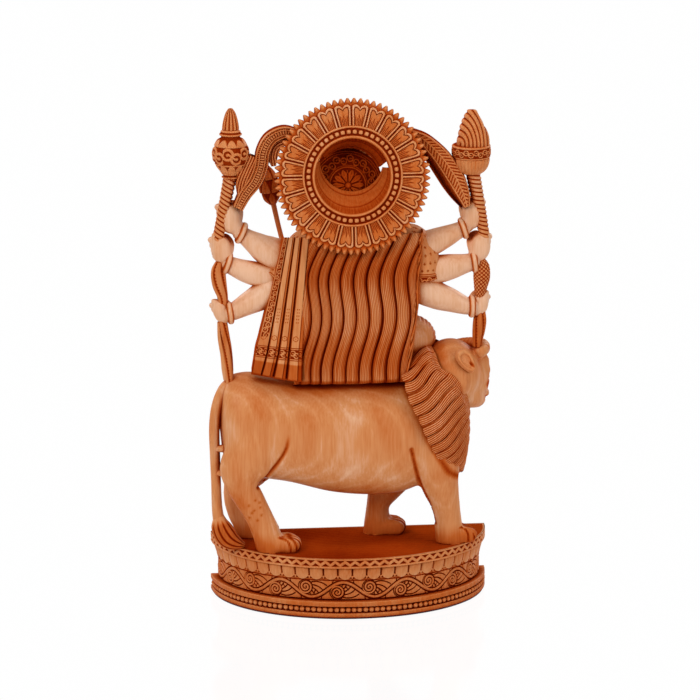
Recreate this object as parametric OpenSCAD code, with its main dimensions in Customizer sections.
// Carved wooden temple figurine: an eight-armed goddess seated on a walking lion, on a D-shaped base.
// Frame: +Z up, the figure faces -Y, the lion walks towards -X, the origin is the centre of the underside.

/* [Base] */
// Width of the base along X
base_w = 134.6; // [130:0.2:138]
// Depth of the base along Y, flat front to the crown of the curved back
base_d = 57.5; // [55:0.5:60]
// Height of the top of the base above the table
base_h = 30; // [29.5:0.1:30.5]
// How far the carved frieze wall stands back from the base's outline
frieze_inset = 4; // [2:0.5:5]
// Thickness of the felt under the base
felt_t = 0.8; // [0.5:0.1:1.2]

/* [Halo] */
// Radius of the halo to the tips of its teeth
halo_r = 37.2; // [36:0.1:38]
// Radius of the round window in the halo
halo_window_r = 17.8; // [17.4:0.1:18.4]
// Thickness of the halo plate
halo_t = 4.2; // [3.5:0.1:5]
// How far the halo leans back towards the front of the figure, in degrees
halo_lean = 12; // [8:1:14]
// Number of petals round the halo
halo_petals = 24; // [20:1:28]
// Number of teeth round the rim
halo_teeth = 72; // [48:1:80]
// Number of beads round the window
halo_beads = 46; // [36:1:48]

/* [Bracelets] */
// Thickness of a bracelet's round wire
bracelet_wire = 2.3; // [1.8:0.1:2.6]

/* [Hidden] */

tan_wood = [0.80, 0.54, 0.36];
red_wood = [0.66, 0.32, 0.14];
maroon = [0.35, 0.05, 0.06];

figure_x = 3;                    // the figure's own frame lies this far along X from the base's centre
axis_x = -2;                     // the goddess sits this far along X in the figure's frame
lion_y = -3;                     // centre plane of the lion
top_z = base_h;                  // the surface that the paws stand on
halo_at = [-0.8, 16, 215];        // centre of the halo's rear face
seat_gap = 0.02;                 // gap left where two carved surfaces meet

// ---------- geometry helpers ----------

function flat(lists) = [for (l = lists) for (p = l) p];
function unit(v) = v / norm(v);
function xyz(s) = [s[0], s[1], s[2]];
function soft_power(t, p) = sign(t) * pow(abs(t), 2 / p);

// Catmull-Rom point between stations b and c, for stations with any number of values
function between(a, b, c, d, t) =
    0.5 * (2 * b + (c - a) * t + (2 * a - 5 * b + 4 * c - d) * t * t + (3 * b - a - 3 * c + d) * t * t * t);

// The stations joined by a smooth curve, with a number of steps from each one to the next
function smooth(st, steps) =
    let (last = len(st) - 1)
    concat([for (i = [0 : last - 1]) for (k = [0 : steps - 1])
        between(st[max(i - 1, 0)], st[i], st[i + 1], st[min(i + 2, last)], k / steps)], [st[last]]);

// A ring of points round c, with half-axes a along u and b along v; squareness 2 is an ellipse
function ring(c, u, v, a, b, sides, squareness = 2) =
    [for (i = [0 : sides - 1]) let (t = 360 * i / sides)
        c + a * soft_power(cos(t), squareness) * u + b * soft_power(sin(t), squareness) * v];

// A closed solid through rings of equal length
module skin(rings) {
    m = len(rings);
    n = len(rings[0]);
    mid = [for (e = [0, m - 1]) let (r = rings[e])
        [for (k = [0 : 2]) [for (p = r) p[k]] * [for (p = r) 1 / n]]];
    sides = [for (i = [0 : m - 2]) for (j = [0 : n - 1]) let (q = (j + 1) % n)
        each [[i * n + j, (i + 1) * n + j, (i + 1) * n + q], [i * n + j, (i + 1) * n + q, i * n + q]]];
    low = [for (j = [0 : n - 1]) [m * n, j, (j + 1) % n]];
    high = [for (j = [0 : n - 1]) [m * n + 1, (m - 1) * n + (j + 1) % n, (m - 1) * n + j]];
    polyhedron(concat(flat(rings), mid), concat(sides, low, high));
}

// A limb through stations [x, y, z, half-width, half-depth]; the half-depth lies towards ref
module limb(stations, steps = 2, sides = 12, ref = [0, 1, 0], squareness = 2) {
    st = smooth(stations, steps);
    last = len(st) - 1;
    skin([for (i = [0 : last])
        let (t = unit(xyz(st[min(i + 1, last)]) - xyz(st[max(i - 1, 0)])),
             u = unit(cross(ref, t)), v = cross(t, u))
        ring(xyz(st[i]), u, v, st[i][3], st[i][4], sides, squareness)]);
}

// An upright solid through stations [x, y, z, half-width along X, half-depth along Y]
module column(stations, steps = 3, sides = 20, squareness = 2) {
    skin([for (s = smooth(stations, steps)) ring(xyz(s), [1, 0, 0],
    [0, 1, 0], s[3], s[4], sides, squareness)]);
}

// A solid along -X through stations [x, y, z, half-width along Y, half-height along Z]
module barrel(stations, steps = 3, sides = 20, squareness = 2) {
    skin([for (s = smooth(stations, steps)) ring(xyz(s), [0, -1, 0],
    [0, 0, 1], s[3], s[4], sides, squareness)]);
}

// The first two stations of a limb that carries on from the end of another one
function onward(st) =
    let (last = len(st) - 1, e = st[last], d = unit(xyz(e) - xyz(st[last - 1])))
    [for (step = [0.03, 1.2]) let (p = xyz(e) + step * d) [p[0], p[1], p[2], e[3], e[4]]];

// An egg with three half-axes
module egg(c, a, sides = 16) {
    skin([for (t = [-81 : 18 : 81])
        ring(c + [0, 0, a[2] * sin(t)], [1, 0, 0], [0, 1, 0], a[0] * cos(t), a[1] * cos(t), sides)]);
}

// Takes a whole carved form as one mesh
module carved(hue = tan_wood) {
    color(hue) translate([figure_x, 0, 0]) resize([0, 0, 0]) children();
}

// Places turned and flat forms that keep their exact curves
module turned(hue = tan_wood) {
    color(hue) translate([figure_x, 0, 0]) children();
}

module above_base() {
    intersection() {
        children();
        translate([-100, -100, top_z + seat_gap]) cube([200, 200, 300]);
    }
}

// Places children with their +Z along a direction d from point p
module aim(p, d) {
    translate(p) rotate([0, acos(d[2] / norm(d)), atan2(d[1], d[0])]) children();
}

// ---------- base ----------

// The base's plan: a half ellipse behind a flat front, drawn in by an inset
module plan(inset = 0) {
    half = base_w / 2 - inset;
    deep = base_d - 2 * inset;
    front = -base_d / 2 + inset;
    polygon([for (t = [0 : 4 : 180]) [half * cos(t), front + deep * sin(t)]]);
}

module slab(low, high, inset = 0) {
    translate([0, 0, low]) linear_extrude(high - low) plan(inset);
}

plinth_top = 8.5;
petals_low = 19.7;
petals_high = 25.3;
bead_z = 4.5;
bead_r = 1.35;
groove_depth = 1.5;

module felt_pad() color(maroon) slab(0, felt_t, 0.8);

module base_plinth() {
    color(tan_wood) union() {
        slab(felt_t, bead_z - bead_r - 0.3);
        slab(bead_z - bead_r - 0.3, bead_z + bead_r + 0.3, groove_depth);
        slab(bead_z + bead_r + 0.3, plinth_top);
    }
}

// Beads along the curved back of the plinth, at an even spacing, and along its flat front
module bead_on(p, facing) {
    translate(p) rotate([0, 0, facing]) rotate([0, 90, 0]) rotate_extrude($fn = 24)
        intersection() {
            circle(bead_r, $fn = 24);
            square(2 * bead_r);
        }
}

module plinth_beads() {
    half = base_w / 2 - groove_depth + seat_gap;
    deep = base_d - 2 * groove_depth + seat_gap;
    front = -base_d / 2 + groove_depth;
    count = 67;
    color(tan_wood) {
        for (i = [1 : count - 1])
            let (t = 90 - 90 * soft_power(cos(180 * i / count), 2.15))
            bead_on([half * cos(t), front + deep * sin(t), bead_z], atan2(half * sin(t), deep * cos(t)));
        for (i = [-22 : 22])
            bead_on([i * 2.86, front - seat_gap, bead_z], -90);
    }
}

module base_frieze() color(red_wood) slab(plinth_top, petals_low, frieze_inset);
module base_petal_band() color(tan_wood) slab(petals_low, petals_high, frieze_inset / 2);
module base_top_slab() color(tan_wood) slab(petals_high, top_z);

// ---------- lion ----------

module lion_form() {
    barrel([[61.6, lion_y, 93, 3, 5], [60.6, lion_y, 92.7, 10, 15.2], [57, lion_y, 91.7, 15.2, 21.7],
            [46, lion_y, 89.7, 18, 24.9], [28, lion_y, 86.6, 18.5, 25.2], [8, lion_y, 84, 18.8, 28],
            [-12, lion_y, 83, 19, 29], [-28, lion_y, 84, 18.5, 28.4], [-40, lion_y, 87, 16, 25],
            [-48, lion_y, 91, 12, 19], [-53.4, lion_y, 94, 7, 11], [-55.6, lion_y, 95, 2, 4]],
           steps = 2, sides = 22, squareness = 2.25);
}

module right_hind_form() {
    limb([[42, 1, 99, 11, 8], [44.6, 4, 88, 15.2, 11], [47.4, 6.5, 76.6, 13.6, 10],
          [51.4, 7.6, 69.6, 11.8, 8],
          [51.4, 8.2, 62, 8, 6.2], [47.4, 8.5, 54, 7.1, 5.6], [42.6, 8.5, 44, 6.7, 5.4],
          [37.6, 8.5, 29, 6.8, 6.4]],
         sides = 16);
    limb([[45, 8.5, 34, 4, 5], [36, 8.5, 34.6, 5.4, 6.6], [29, 8.5, 33.4, 4.6, 7],
          [23.6, 8.5, 31.8, 2.4, 4]],
         sides = 12);
}

module left_hind_form() {
    limb([[38, -9, 96, 10, 8], [39, -12, 84, 16, 10], [44, -14, 70, 13, 8.4], [50, -15.5, 59, 9, 6.2],
          [52.4, -16.5, 50, 6.6, 5.3], [49.4, -17.2, 39.6, 6.6, 5.4], [45, -17.5, 29, 7, 6]],
         sides = 16);
    limb([[50, -17.5, 34, 4, 4.6], [42, -17.5, 34.6, 5.2, 6], [36, -17.5, 33.4, 4.6, 6.4],
          [31.4, -17.5, 31.8, 2.4, 4]],
         sides = 12);
}

module right_fore_form() {
    limb([[-36, 2, 92, 10, 9], [-39.6, 5, 82, 12.4, 10], [-42.2, 6.3, 71, 11.6, 9],
          [-43.4, 6, 62, 10, 7.6],
          [-46.2, 4.4, 51, 7.9, 6.2], [-48.3, 2.8, 41, 6.9, 5.6], [-49.8, 2.2, 29, 7, 6.2]],
         sides = 16);
    limb([[-45, 2.6, 34, 4, 5], [-53, 1, 34.6, 5.2, 6.6], [-60, -1.4, 33.4, 4.6, 6.6],
          [-65.4, -3, 31.8, 2.4, 4]],
         sides = 12);
}

module left_fore_form() {
    limb([[-34, -9, 90, 10, 8], [-31, -12, 76, 13, 9], [-25, -14.5, 63, 11.6, 8],
          [-19.6, -16.5, 52, 8.4, 6.4],
          [-16.6, -17.6, 42, 6, 5.5], [-16, -17.8, 29, 6.8, 6]],
         sides = 16);
    limb([[-10, -17.8, 34, 4, 4.6], [-18, -17.8, 35, 5.2, 6], [-25, -17.8, 34.4, 4.8, 6.2],
          [-29.6, -17.8, 32.4, 3, 4.4]],
         sides = 12);
}

// The mane is a slanting collar round the neck that ends in a point on the chest
mane_lean = unit([0.52, 0, 0.85]);

module mane_form() {
    skin([for (s = smooth([[-31, -2.5, 90, 10, 18], [-38.5, -2.5, 94, 21, 30],
                           [-44, -2.5, 98.5, 21.5, 30.5],
                           [-49, -2.5, 104, 18.5, 24.5], [-53, -3, 108, 11, 15]], 2))
        ring(xyz(s), [0, -1, 0], mane_lean, s[3], s[4], 24, 2.2)]);
}

module head_form() {
    egg([-50, -3.2, 112.8], [14.8, 14.8, 16.4], 20);
    limb([[-50, -4, 111, 13.4, 13], [-56.4, -8.4, 109, 12.8, 12.8], [-61.4, -12.2, 107.4, 10.6, 12],
          [-65.2, -15.2, 106, 6.4, 7.6]], ref = [0, 0, 1]);
    limb([[-53, -6, 101.4, 8, 6], [-59.4, -10.8, 98.8, 6.4, 4.8],
          [-64.2, -14.6, 96.8, 4, 3.2]], ref = [0, 0, 1], sides = 12);
    limb([[-52, -18, 122.4, 2.8, 2.8], [-59.2, -16.8, 124.2, 3.2, 3.2], [-64, -13.4, 124.8, 3.2, 3.2],
          [-66, -8, 124.2, 3.2, 3.2], [-64.4, -0.4, 122.4, 2.8, 2.8]], ref = [0, 0, 1], sides = 12);
    limb([[-52.6, -5.2, 113.4, 9.6, 8.6], [-58, -9.6, 114, 10.4, 8.6], [-61.6, -12.4, 114, 10.2, 8.2],
          [-63.4, -13.8, 114, 9, 7]], ref = [0, 0, 1], sides = 16);
}

module ears_form() {
    limb([[-53, 9, 116.6, 2.2, 1.6], [-55.4, 10.6, 121.8, 4, 2.6],
          [-58, 10.2, 127.6, 1.8, 1.4]], sides = 12);
    limb([[-43.4, -14, 115.4, 2.2, 1.6], [-44.6, -16.4, 120.8, 4, 2.6],
          [-44.2, -16.2, 126.6, 1.6, 1.2]], sides = 12);
}

tail_route = [[54, -1, 112, 3, 3], [58.8, -0.4, 108, 2.8, 2.8], [62.6, 0.6, 99.6, 2.7, 2.7],
              [64.4, 1, 88, 2.6, 2.6],
              [64.8, 1.6, 74, 2.5, 2.5], [64.8, 2, 58, 2.5, 2.5], [63.2, 2.8, 43, 3, 3]];

module tail_form() limb(tail_route, steps = 2, sides = 10);

module tuft_form() {
    limb([[63.6, 2.7, 46, 2.8, 2.8], [62.4, 2.9, 40.6, 4.9, 4.6], [59, 3.1, 35.6, 5.1, 4.8],
          [55, 3.3, 32.8, 3.6, 3.4],
          [50.6, 3.4, 31.4, 1, 1.2]], sides = 12);
}

module lion_body() carved() lion_form();

module lion_leg(side) {
    carved() above_base() difference() {
        children();
        lion_form();
    }
}

module lion_right_hind_leg() lion_leg() right_hind_form();
module lion_left_hind_leg() lion_leg() left_hind_form();

module lion_right_fore_leg() {
    carved() above_base() difference() {
        right_fore_form();
        lion_form();
        mane_form();
    }
}

module lion_left_fore_leg() {
    carved() above_base() difference() {
        left_fore_form();
        lion_form();
        mane_form();
    }
}

module lion_mane() {
    carved(red_wood) difference() {
        mane_form();
        lion_form();
    }
}

module lion_head() {
    carved() difference() {
        head_form();
        mane_form();
        lion_form();
    }
}

module lion_ears() {
    carved() difference() {
        ears_form();
        head_form();
        mane_form();
    }
}

module lion_tail() {
    carved() difference() {
        tail_form();
        lion_form();
        tuft_form();
    }
}

module lion_tail_tuft() carved(red_wood) above_base() tuft_form();

// ---------- goddess ----------

module torso_form() {
    column([[axis_x, -7, 106, 19, 10], [axis_x, -7, 116, 21.5, 12], [axis_x, -6, 127, 18.5, 11],
            [axis_x, -4, 138, 15, 10],
            [axis_x, -3.4, 149, 16.4, 11.2], [axis_x, -3.4, 160, 20, 12.6],
            [axis_x, -2.8, 170, 22.4, 11.4],
            [axis_x, -2.8, 177, 18.8, 9], [axis_x, -3.4, 181, 8, 6.8], [axis_x, -5.4, 190, 5.2, 5.2]],
           steps = 2, sides = 20);
}

// The right leg is folded on the lion's shoulders with its knee out to the side
right_shin = [[-35, -12, 124, 7, 7], [-27, -18.4, 121, 6.6, 6], [-15, -21.8, 118.6, 5.6, 5],
              [-5, -23.4, 117, 4.2, 3.6]];

module right_leg_form() {
    limb([[-6, -6, 122, 11, 10], [-18, -6.4, 127.4, 12.4, 12.2], [-29, -7, 129.6, 11.8, 12.2],
          [-37.8, -8, 129.6, 8.8, 9.4],
          [-42.6, -8.6, 129, 3.8, 4.8]], ref = [0, 0, 1]);
    limb(right_shin, ref = [0, 0, 1]);
}

// The left leg hangs down in front of the lion's flank
left_leg = [[4, -8, 121, 9, 9], [13, -12, 122, 10, 9.6], [20, -17.2, 119.4, 8.8, 7.8],
            [22.8, -20.2, 113, 7.6, 6.6],
            [22.2, -21.4, 102, 6.6, 5.6], [20.8, -22.4, 90, 5.6, 4.8], [20.2, -23, 78, 4.4, 3.9]];

module left_leg_form() limb(left_leg, ref = [0, 1, 0.02]);

module feet_form() {
    limb(concat(onward(right_shin), [[4, -24.4, 114.6, 3.4, 2.4],
                                     [9.6, -24.8, 113.2, 1.4, 1.1]]), ref = [0, 0, 1]);
    limb(concat(onward(left_leg), [[18.6, -24, 72.6, 3.6, 3.4], [14, -24.8, 69.6, 3, 2.6],
                                   [9.6, -25.2, 68.4, 1.4, 1.2]]));
}

module head_shape() {
    egg([axis_x, -8.6, 197.4], [11.6, 11.8, 14.6], 22);
}

// The hair falls in waving locks over the back, from the nape to the lion's saddle
lock_pitch = 8.4;

function hair_wave(z) = 1.9 * sin((z - 112) * 9.6);
function hair_back(x, z) = 16.4 + 0.02 * (z - 112) - 0.0042 * (x - axis_x) * (x - axis_x);
function lock_relief(x, z) = 1.5 * abs(sin(180 * (x - hair_wave(z)) / lock_pitch));

module hair_form() {
    rows = [for (k = [0 : 10]) let (z = 111 + 6.9 * k, h = k / 10)
        let (left = 27 - 7.6 * h, right = -28 - 6 * h, wide = left - right)
        concat([for (i = [0 : 26]) let (x = left - wide * i / 26)
                    [x, hair_back(x, z) + lock_relief(x, z) - 1.5, z]],
               [for (i = [0 : 8]) let (x = right + wide * i / 8) [x, 3, z]])];
    skin([for (r = [0 : len(rows) - 1]) rows[r]]);
}

// Four pressed folds of the sari's end hang over the left shoulder blade. Each has [x, width, y of its face]
// at the hem, above the hem and at the shoulder.
pleats = [[[23.4, 7.9, 16.2], [23.2, 6.7, 15.4], [18.4, 5.2, 13.6]],
          [[31, 6.3, 14.8], [29.6, 5.1, 14.2], [23.3, 3.5, 13]],
          [[37, 5.9, 13.4], [34.4, 5.6, 13], [26.5, 3.4, 12.5]],
          [[42.6, 4.2, 12.6], [39.7, 5.4, 11.8], [29.6, 2.2, 12]]];
pleat_heights = [113.4, 128.4, 185];

function pleat_ring(c, z) =
    let (x = c[0], w = c[1], y = c[2])
    [[x, 4, z], [x + w, 4, z], [x + w, y - 0.8, z], [x + 0.85 * w, y, z], [x + 0.3 * w, y - 0.1, z],
     [x, y - 1.3, z]];

module pleats_form() {
    for (p = pleats) skin([for (k = [0 : 2]) pleat_ring(p[k], pleat_heights[k])]);
}

module left_sleeve_form() {
    limb([[18, -2, 181, 6, 6.6], [24, -0.6, 178, 8.2, 8.8], [31.4, 1, 171, 10, 9.8],
          [33.4, 2, 162, 9.2, 9.4]]);
}

module right_sleeve_form() {
    limb([[-22, -2, 181, 6, 6.6], [-30, -0.6, 178.6, 9, 9.2], [-34, 1, 171, 9.8, 9.6],
          [-34.6, 2, 161, 9.2, 9.2]]);
}

module goddess_torso() {
    carved() difference() {
        torso_form();
        lion_form();
        mane_form();
    }
}

module goddess_right_leg() {
    carved(red_wood) difference() {
        right_leg_form();
        torso_form();
        lion_form();
        mane_form();
        head_form();
    }
}

module goddess_left_leg() {
    carved(red_wood) difference() {
        left_leg_form();
        torso_form();
        lion_form();
        right_leg_form();
    }
}

module goddess_feet() {
    carved() difference() {
        feet_form();
        lion_form();
    }
}

module goddess_head() {
    carved() difference() {
        head_shape();
        torso_form();
        crown_form();
    }
}

module goddess_hair() {
    carved(red_wood) difference() {
        hair_form();
        torso_form();
        lion_form();
        mane_form();
        right_leg_form();
        left_leg_form();
        pleats_form();
        left_sleeve_form();
        right_sleeve_form();
        halo_body();
        head_form();
    }
}

module sari_pleats() {
    carved(red_wood) difference() {
        pleats_form();
        torso_form();
        lion_form();
        left_leg_form();
        left_sleeve_form();
        halo_body();
    }
}

module left_sleeve() {
    carved(red_wood) difference() {
        left_sleeve_form();
        torso_form();
        left_pair_form();
        left_front_form();
        left_lower_form();
    }
}

module right_sleeve() {
    carved(red_wood) difference() {
        right_sleeve_form();
        torso_form();
        right_pair_form();
        right_front_form();
        right_lower_form();
    }
}

// Two strands lie on the chest
module necklaces() {
    carved() difference() {
        for (drop = [0, 8])
            limb([for (i = [-3 : 3]) let (t = i / 3, h = 8 + drop * 0.5)
                [axis_x + t * (9 + 0.3 * drop), -16.2 + 5 * t * t, 166.5 - drop + h * t * t, 1.3, 1.3]],
                steps = 2, sides = 8);
        torso_form();
    }
}

// ---------- crown and halo ----------

module crown_form() {
    column([[axis_x, -8.4, 201.4, 12.9, 12.9], [axis_x, -8.6, 204, 14.2, 13.8],
            [-1, -8.6, 210, 15.6, 14.2],
            [-1, -8.8, 217, 14.8, 13.4], [-1, -8.4, 224, 12.2, 11.8], [-1, -7.8, 230, 8.8, 8.8],
            [-1, -7.2, 235, 5.8, 6], [-1, -7, 238, 3.6, 3.6]], steps = 2, sides = 24);
}

module crown() carved() crown_form();

module crown_finial() {
    turned() translate([-1, -7, 238 + seat_gap]) {
        cylinder(h = 1.2, r = 3.2, $fn = 32);
        translate([0, 0, 1.2]) cylinder(h = 1.6, r1 = 2.2, r2 = 1.4, $fn = 32);
        translate([0, 0, 4.6]) sphere(2.2, $fn = 32);
        translate([0, 0, 6]) cylinder(h = 3.4, r1 = 1.6, r2 = 0.4, $fn = 32);
    }
}

// A disc and a drop hang at each ear
module ear_ornaments() {
    turned() for (side = [-1, 1])
        translate([axis_x + side * 11.7, -7.6, 194]) {
            rotate([0, side * 90, 0]) cylinder(h = 1.9, r = 3.4, $fn = 32);
            translate([side * 1, 0, -3.2 - 1.9 - seat_gap]) sphere(1.9, $fn = 24);
        }
}

// Everything on the halo is drawn flat, with its rear face at height 0 and +Y up the figure
module place_halo() {
    translate(halo_at) rotate([halo_lean, 0, 0]) rotate([90, 0, 180]) children();
}

tooth_len = 2.4;
rim_r = halo_r - tooth_len;
petal_in_r = halo_window_r + 6.2;
bead_ring_r = halo_window_r + 3.3;

module halo_plate(h) {
    difference() {
        cylinder(h = h, r = rim_r, $fn = 96);
        translate([0, 0, -1]) cylinder(h = h + 2, r = halo_window_r, $fn = 96);
    }
}

// The petal's outline: straight sides, and an end with two lobes
function petal_outline(grow) =
    let (half = 180 / halo_petals - 0.9 + grow, r1 = petal_in_r + 0.3, r2 = rim_r - 1 + grow)
    concat([for (t = [-1, 1]) r1 * [cos(half * t), sin(half * t)]],
           [for (k = [0 : 8]) let (t = 1 - k / 4, a = half * t)
               (r2 - 0.9 * (1 - pow(abs(sin(180 * t)), 0.8))) * [cos(a), sin(a)]]);

module halo_disc() {
    turned() place_halo() translate([0, 0, -halo_t]) halo_plate(halo_t - 1.6);
}

// Raised petals between two plain rings, on the rear face of the disc
module halo_petal_ring() {
    turned() place_halo() translate([0, 0, -1.6 + seat_gap]) {
        for (i = [0 : halo_petals - 1])
            rotate([0, 0, 360 * (i + 0.5) / halo_petals]) linear_extrude(1.2) polygon(petal_outline(0));
        plain_ring(petal_in_r - 1.1, petal_in_r);
        plain_ring(halo_window_r, halo_window_r + 1.5);
    }
}

module plain_ring(inner, outer) {
    difference() {
        cylinder(h = 1.5, r = outer, $fn = 96);
        translate([0, 0, -1]) cylinder(h = 4, r = inner, $fn = 96);
    }
}

module halo_rim_teeth() {
    turned() place_halo() translate([0, 0, -halo_t + 0.6]) linear_extrude(halo_t - 1.6)
        for (i = [0 : halo_teeth - 1])
            rotate(360 * i / halo_teeth)
                polygon([[rim_r + seat_gap, -1.4], [rim_r + 1.1, -1.4], [halo_r, 0], [rim_r + 1.1, 1.4],
                         [rim_r + seat_gap, 1.4]]);
}

module halo_bead_ring() {
    turned() place_halo()
        for (i = [0 : halo_beads - 1])
            rotate([0, 0, 360 * i / halo_beads])
                translate([bead_ring_r, 0, -1.6 + 1.25]) sphere(1.22, $fn = 24);
}

// A wall from the halo's window, between two angles round it, in to an arc at the back of the head
module tube_wall(window, arc, centre, inner_r, depth) {
    steps = 22;
    rim = -halo_t - seat_gap;
    place_halo() skin([for (i = [0 : steps])
        let (t = window[0] + (window[1] - window[0]) * i / steps, d = [cos(t), sin(t)])
        let (q = arc[0] + (arc[1] - arc[0]) * i / steps, g = [cos(q), sin(q)])
        let (a = halo_window_r * d, b = (halo_window_r + 3) * d)
        let (c = centre + (inner_r + 1.6) * g, e = centre + inner_r * g)
        [[a[0], a[1], rim], [b[0], b[1], rim], [c[0], c[1], depth - 0.3], [e[0], e[1], depth]]]);
}

// A tube joins the window's lower half to the head, and a hood comes over the crown from its upper half
module funnel_form() {
    tube_wall([169, 377], [195, 357], [-0.6, 8], 15.2, -10.8);
    tube_wall([36, 150], [42, 153], [0.3, -1.2], 14.6, -14.5);
}

module halo_socket() {
    carved(red_wood) difference() {
        funnel_form();
        crown_form();
        head_shape();
        torso_form();
        hair_form();
    }
}

module halo_body() {
    place_halo() translate([0, 0, -halo_t - seat_gap]) cylinder(h = halo_t + 10, r = halo_r + 0.2, $fn = 48);
}

// ---------- arms, hands and bracelets ----------

left_upper = [[18, 2, 170, 8, 7], [30, 1.4, 172.6, 8, 7.4], [39, 0.6, 176.6, 6.8, 6.4],
              [44.4, 0, 180, 5.3, 5.2],
              [48.6, -0.5, 183, 3.5, 3.5], [52.4, -0.6, 186, 3.3, 3.3]];
left_middle = [[20, 2, 161, 7, 6.4], [34, 1.8, 163.4, 6.8, 6.4], [42, 1.4, 164.8, 6.1, 5.8],
               [49, 1, 166.6, 5.2, 5],
               [55.4, 0.5, 169.2, 3.6, 3.6], [59.6, 0.4, 171.4, 3.3, 3.3]];
left_lower = [[24, 1, 165, 8, 7.4], [34, 1.8, 159.2, 8.2, 7.8], [41.5, 2.2, 154.6, 6.8, 6.6],
              [48.2, 2.4, 151, 5.4, 5.3],
              [54.2, 2.3, 147.8, 3.6, 3.6], [58.4, 2.2, 146, 3.4, 3.4]];
left_front = [[18, -4, 172, 6, 6], [25, -8, 163, 6, 5.8], [28, -13, 153, 5.2, 5],
              [27, -18.6, 151, 4.6, 4.4],
              [25.4, -23, 155.6, 3.3, 3.2]];
right_upper = [[-22, 2, 173, 8, 7], [-32, 1.4, 175.4, 7.4, 7], [-40.2, 0.6, 178.4, 6.4, 6.2],
               [-47.7, 0, 181.3, 5, 4.9],
               [-53, -0.5, 183.6, 3.5, 3.5], [-57.2, -0.6, 185.4, 3.3, 3.3]];
right_middle = [[-24, 2, 164, 7.2, 6.6], [-36, 1.8, 164.8, 7.2, 6.8], [-44, 1.4, 165.6, 6.8, 6.4],
                [-50.4, 1, 166.6, 5.8, 5.6],
                [-57, 0.5, 167.8, 3.8, 3.8], [-62.4, 0.4, 169, 3.4, 3.4]];
right_lower = [[-27, 1, 165, 8, 7.4], [-35, 1.8, 157.4, 8, 7.6], [-42.2, 2.2, 153, 6.8, 6.6],
               [-49, 2.4, 150.4, 5.6, 5.4],
               [-56.4, 2.3, 147.4, 3.6, 3.6], [-61.2, 2.2, 146.8, 3.4, 3.4]];
right_front = [[-22, -4, 172, 6, 6], [-29, -8, 163, 6, 5.8], [-32, -13, 153, 5.2, 5],
               [-31, -18.6, 151, 4.6, 4.4],
               [-29.4, -23, 155.6, 3.3, 3.2]];

module left_pair_form() {
    limb(left_upper);
    limb(left_middle);
}

module right_pair_form() {
    limb(right_upper);
    limb(right_middle);
}

module left_lower_form() limb(left_lower);
module right_lower_form() limb(right_lower);
module left_front_form() limb(left_front, ref = [1, 0.2, 0]);
module right_front_form() limb(right_front, ref = [1, 0.2, 0]);

module left_hands_form() {
    limb(concat(onward(left_upper), [[55, -1.4, 190, 5.4, 5.2], [56.6, -1.8, 196.4, 5.2, 5],
                                     [57.8, -1, 202, 1.8, 2.4]]));
    limb(concat(onward(left_middle), [[61.4, -1, 175.4, 5.2, 5], [62.8, -1.4, 181, 4.8, 4.8],
                                      [63.8, -0.6, 186, 1.6, 2.2]]));
    limb(concat(onward(left_lower), [[61.4, 1.4, 146, 4.6, 4.8], [64.6, 1.2, 149.4, 3.8, 4.4],
                                     [65.8, 1.6, 153.4, 1.4, 1.8]]));
    limb(concat(onward(left_front), [[25.2, -25.2, 159.6, 4.4, 3.4],
                                     [26.2, -25.4, 164, 3.6, 3]]), ref = [1, 0.2, 0]);
}

module right_hands_form() {
    limb(concat(onward(right_upper), [[-59, -1.4, 190, 5.2, 5.2], [-60.4, -1.8, 196, 5, 5],
                                      [-61.2, -1, 201.6, 1.8, 2.4]]));
    limb(concat(onward(right_middle), [[-63.2, -1, 174.4, 4.8, 5], [-64, -1.4, 180, 4.6, 4.8],
                                       [-64.6, -0.6, 185, 1.6, 2.2]]));
    limb(concat(onward(right_lower), [[-63, 1.4, 147.6, 4.6, 4.8], [-65, 1.2, 151, 3.8, 4.4],
                                      [-65.8, 1.6, 155, 1.4, 1.8]]));
    // the front hand is raised open, with its palm to the worshipper
    limb(concat(onward(right_front), [[-28.8, -25, 160, 2.2, 4.2], [-28.8, -25.6, 165.6, 1.9, 4.4],
          [-29, -25.4, 171, 1.5, 3.6], [-29.2, -25, 175.4, 0.9, 1.6]]), ref = [1, 0.2, 0]);
}

// Wrists in order: left upper, left middle, left lower, left front, then the same on the right
wrists = [[[50.9, -0.6, 184.8], [0.78, 0, 0.62], 3.6], [[57.9, 0.4, 170.6], [0.9, 0, 0.43], 3.6],
          [[56.8, 2.2, 146.6], [0.95, 0, -0.3], 3.8], [[25.7, -22.4, 154.8], [-0.1, -0.66, 0.74], 3.9],
          [[-55.7, -0.6, 184.8], [-0.93, 0, 0.37], 3.6], [[-60.8, 0.4, 168.7], [-0.98, 0, 0.2], 3.7],
          [[-59.6, 2.2, 147], [-1, 0, -0.1], 3.8], [[-29.7, -22.4, 154.8], [0.1, -0.66, 0.74], 3.9]];

module bracelet_form(w, wire = bracelet_wire) {
    aim(w[0], w[1]) rotate_extrude($fn = 48)
        translate([w[2] + wire / 2 + 0.05, 0]) circle(wire / 2, $fn = 24);
}

module left_upper_arm_pair() {
    carved() difference() {
        left_pair_form();
        torso_form();
    }
}

module right_upper_arm_pair() {
    carved() difference() {
        right_pair_form();
        torso_form();
    }
}

module left_lower_arm() {
    carved() difference() {
        left_lower_form();
        torso_form();
        left_pair_form();
        left_front_form();
    }
}

module right_lower_arm() {
    carved() difference() {
        right_lower_form();
        torso_form();
        right_pair_form();
        right_front_form();
    }
}

module left_front_arm() {
    carved() difference() {
        left_front_form();
        torso_form();
        left_pair_form();
    }
}

module right_front_arm() {
    carved() difference() {
        right_front_form();
        torso_form();
        right_pair_form();
    }
}

module left_hands() {
    carved() difference() {
        left_hands_form();
        left_things();
    }
}

module right_hands() {
    carved() difference() {
        right_hands_form();
        right_things();
    }
}

module bracelets() turned() for (w = wrists) bracelet_form(w);

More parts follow.
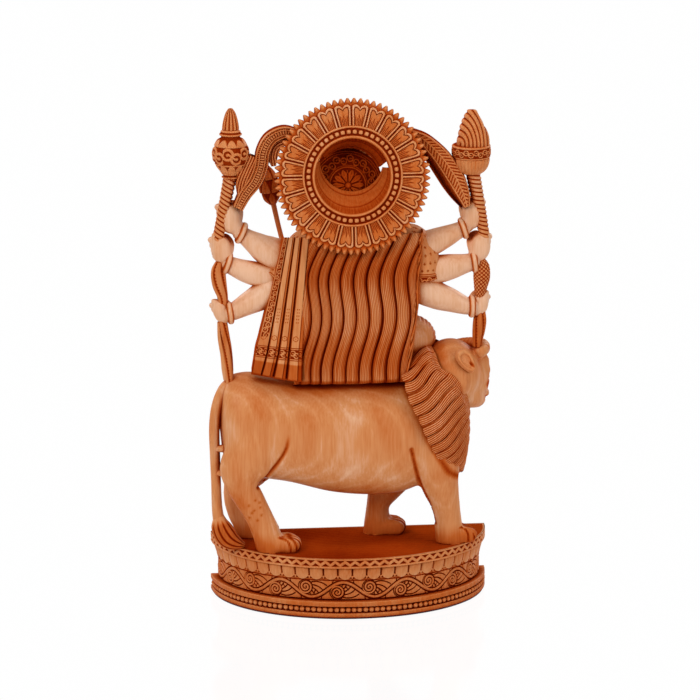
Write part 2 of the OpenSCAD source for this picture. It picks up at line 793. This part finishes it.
// ---------- what the hands hold ----------

module mace_shaft_form() {
    limb([[55.9, 0.6, 212, 3.1, 3.1], [57.9, 0.6, 203, 2.9, 2.9], [60.1, 0.6, 193, 2.7, 2.7],
          [62.1, 0.6, 183, 2.5, 2.5], [63, 0.6, 175, 2.1, 2.1]], sides = 12);
}

// Turned head of the mace: bulb, collars and a tall point
module mace_head() {
    turned() translate([55.9, 0.6, 211.8 + seat_gap]) rotate_extrude($fn = 48)
        polygon([[0, 0], [3.6, 0], [4.2, 0.8], [3.6, 1.7], [4.6, 3.4], [6.2, 6], [8.1, 9.6],
                 [8.7, 13.4], [7.8, 16.6],
                 [5.8, 19.6], [4.4, 20.6], [5.2, 21.2], [5.3, 22.4], [4.4, 23.2], [3.8, 23.6],
                 [3.5, 27], [2.7, 31],
                 [1.6, 33.6], [0, 34.2]]);
}

module torch_shaft_form() {
    limb([[-60, 0.8, 211.7, 3.3, 3.3], [-61.9, 0.8, 202, 3, 3], [-63.9, 0.8, 192, 2.7, 2.7],
          [-65.4, 0.8, 182, 2.5, 2.5], [-65.6, 0.8, 176, 2.1, 2.1]], sides = 12);
}

module torch_cup() {
    turned(red_wood) translate([-59.1, 0.8, 211.7 + seat_gap]) rotate_extrude($fn = 48)
        polygon([[0, 0], [4, 0], [6.8, 1.6], [8.4, 4], [8.8, 7], [8.6, 8.4], [9.2, 8.6], [9.3, 13.6],
                 [8.4, 14.4], [0, 14.4]]);
}

module torch_flame() {
    carved() difference() {
        column([[-60, 0.8, 224, 7.7, 7.7], [-60, 0.8, 228, 8, 8], [-59.8, 0.8, 231.4, 7.4, 7.4],
                [-59.4, 0.8, 235.4, 6.1, 6.1], [-59.2, 0.8, 238.8, 4.5, 4.5],
                [-59.2, 0.8, 243, 2.4, 2.4]],
               steps = 2, sides = 20);
        translate([-59.1, 0.8, 211]) cylinder(h = 15.12 + seat_gap, r = 13, $fn = 24);
    }
}

// A flat curved bar through stations [x, z, half-width], as thick as wanted along Y
module flat_bar(stations, y_mid, thick, steps = 3) {
    st = smooth(stations, steps);
    last = len(st) - 1;
    skin([for (i = [0 : last])
        let (a = st[max(i - 1, 0)], b = st[min(i + 1, last)],
             t = unit([b[0] - a[0], 0, b[1] - a[1]]), u = [t[2], 0, -t[0]],
             c = [st[i][0], y_mid, st[i][1]], w = st[i][2] * u, h = [0, thick / 2, 0], e = 0.7 * w)
        [c + w - 0.5 * h, c + w + 0.5 * h, c + e + h, c - e + h,
         c - w + 0.5 * h, c - w - 0.5 * h, c - e - h, c + e - h]]);
}

module bow_form() {
    flat_bar([[53.6, 197, 2.6], [49.4, 204.6, 3.1], [44, 211.4, 3.4], [41.4, 219, 3.3],
              [40, 227.4, 3.2], [35.4, 233.2, 3.1],
              [28, 234.6, 2.8], [22, 231.6, 1.6]], 2, 6.4);
    flat_bar([[51.4, 203, 1.4], [50.6, 210, 3.4], [47.8, 216.6, 5.4], [45.4, 221, 4.4],
              [44.6, 223.4, 1.6]], 1.6, 6);
    flat_bar([[35.6, 218, 1.2], [36.4, 223, 3], [35, 227.4, 3.4], [31.4, 229.6, 2.6],
              [28, 229, 1.2]], 1.4, 4.6);
}

module sword_form() {
    flat_bar([[-57, 195, 2.4], [-54.8, 200.6, 4.4], [-52.2, 205.6, 5.6], [-49.4, 210.4, 6.2],
              [-43.8, 219, 6],
              [-37, 227, 4.6], [-32, 230.9, 3.2], [-26.8, 233.4, 1.8]], 1.6, 8);
}

module serpent_head_form() {
    limb([[62.6, 1.4, 171, 2.6, 2.6], [63.6, 1.4, 166.6, 3.8, 3.6], [63, 1.5, 160.6, 3.8, 3.5],
          [61, 1.7, 154, 2.8, 2.8], [60.4, 1.9, 150, 2.4, 2.4]], sides = 12);
}

module serpent_body_form() {
    limb([[61, 2, 143.6, 2.3, 2.3], [59.8, 1.9, 138, 2.5, 2.5], [58, 1.5, 129, 2.6, 2.6],
          [57.2, 1, 119, 2.7, 2.7],
          [56.6, 0.2, 110, 2.6, 2.6]], sides = 12);
}

module beaded_pod_form() {
    limb([[-65, 1.2, 169.6, 2.6, 2.6], [-65.6, 1.3, 166, 3.9, 3.8], [-65.4, 1.5, 161, 4.2, 4],
          [-64.6, 1.8, 155, 3.5, 3.3],
          [-64, 2, 150, 2.6, 2.6]], sides = 12);
}

module pod_tail_form() {
    limb([[-63.8, 2, 144, 2.6, 2.6], [-63.8, 1.8, 139, 3.3, 3.2], [-63.2, 1.2, 133, 3.1, 3],
          [-62.4, -0.4, 127, 2.6, 2.6],
          [-61.8, -2, 121.6, 2.2, 2.2]], sides = 12);
}

module lotus_bud_form() {
    limb([[34, -19.6, 194.6, 1.6, 1.6], [34.8, -19.4, 198.6, 4.2, 4.2], [35.8, -19.2, 204, 5.4, 5.4],
          [36.8, -19, 210, 4, 4],
          [37.6, -18.8, 215, 0.9, 0.9]], sides = 14);
}

module lotus_stem_form() {
    limb([[34, -19.6, 195.4, 1.5, 1.5], [31.4, -21, 184, 1.4, 1.4], [28.2, -23.6, 172, 1.4, 1.4],
          [26.4, -26, 162, 1.4, 1.4],
          [26, -26.4, 158, 1.3, 1.3]], sides = 10);
}

module left_things() {
    mace_shaft_form();
    bow_form();
    serpent_head_form();
    serpent_body_form();
    lotus_stem_form();
}

module right_things() {
    torch_shaft_form();
    sword_form();
    beaded_pod_form();
    pod_tail_form();
}

module mace_shaft() {
    carved(red_wood) difference() {
        mace_shaft_form();
        bow_form();
        translate([46, -8, 211.8]) cube([20, 20, 20]);
    }
}

module torch_shaft() {
    carved(red_wood) difference() {
        torch_shaft_form();
        translate([-70, -8, 211.7]) cube([20, 20, 20]);
    }
}

module curled_bow() {
    carved(red_wood) difference() {
        bow_form();
        halo_body();
        left_pair_form();
        translate([56.2, 0.6, 212]) cylinder(h = 30, r = 9.1, $fn = 32);
    }
}

module curved_sword() {
    carved(red_wood) difference() {
        sword_form();
        halo_body();
        right_pair_form();
        translate([-59.1, 0.8, 210]) cylinder(h = 17, r = 9.7, $fn = 32);
        torch_shaft_form();
    }
}

module serpent_head() {
    carved(red_wood) difference() {
        serpent_head_form();
        mace_shaft_form();
        left_pair_form();
        left_lower_form();
    }
}

module serpent_body() {
    carved(red_wood) difference() {
        serpent_body_form();
        lion_form();
        tail_form();
        serpent_head_form();
    }
}

module beaded_pod() {
    carved(red_wood) difference() {
        beaded_pod_form();
        torch_shaft_form();
        right_pair_form();
        right_lower_form();
    }
}

module pod_tail() {
    carved(red_wood) difference() {
        pod_tail_form();
        head_form();
        beaded_pod_form();
        right_lower_form();
    }
}

module lotus_bud() carved(red_wood) lotus_bud_form();

module lotus_stem() {
    carved(red_wood) difference() {
        lotus_stem_form();
        lotus_bud_form();
    }
}

felt_pad();
base_plinth();
plinth_beads();
base_frieze();
base_petal_band();
base_top_slab();
lion_body();
lion_right_hind_leg();
lion_left_hind_leg();
lion_right_fore_leg();
lion_left_fore_leg();
lion_mane();
lion_head();
lion_ears();
lion_tail();
lion_tail_tuft();
goddess_torso();
goddess_right_leg();
goddess_left_leg();
goddess_feet();
goddess_head();
goddess_hair();
sari_pleats();
left_sleeve();
right_sleeve();
necklaces();
crown();
crown_finial();
ear_ornaments();
halo_disc();
halo_petal_ring();
halo_rim_teeth();
halo_bead_ring();
halo_socket();
left_upper_arm_pair();
left_lower_arm();
right_upper_arm_pair();
right_lower_arm();
left_front_arm();
right_front_arm();
left_hands();
right_hands();
bracelets();
mace_head();
mace_shaft();
torch_flame();
torch_cup();
torch_shaft();
curled_bow();
curved_sword();
serpent_head();
serpent_body();
beaded_pod();
pod_tail();
lotus_bud();
lotus_stem();
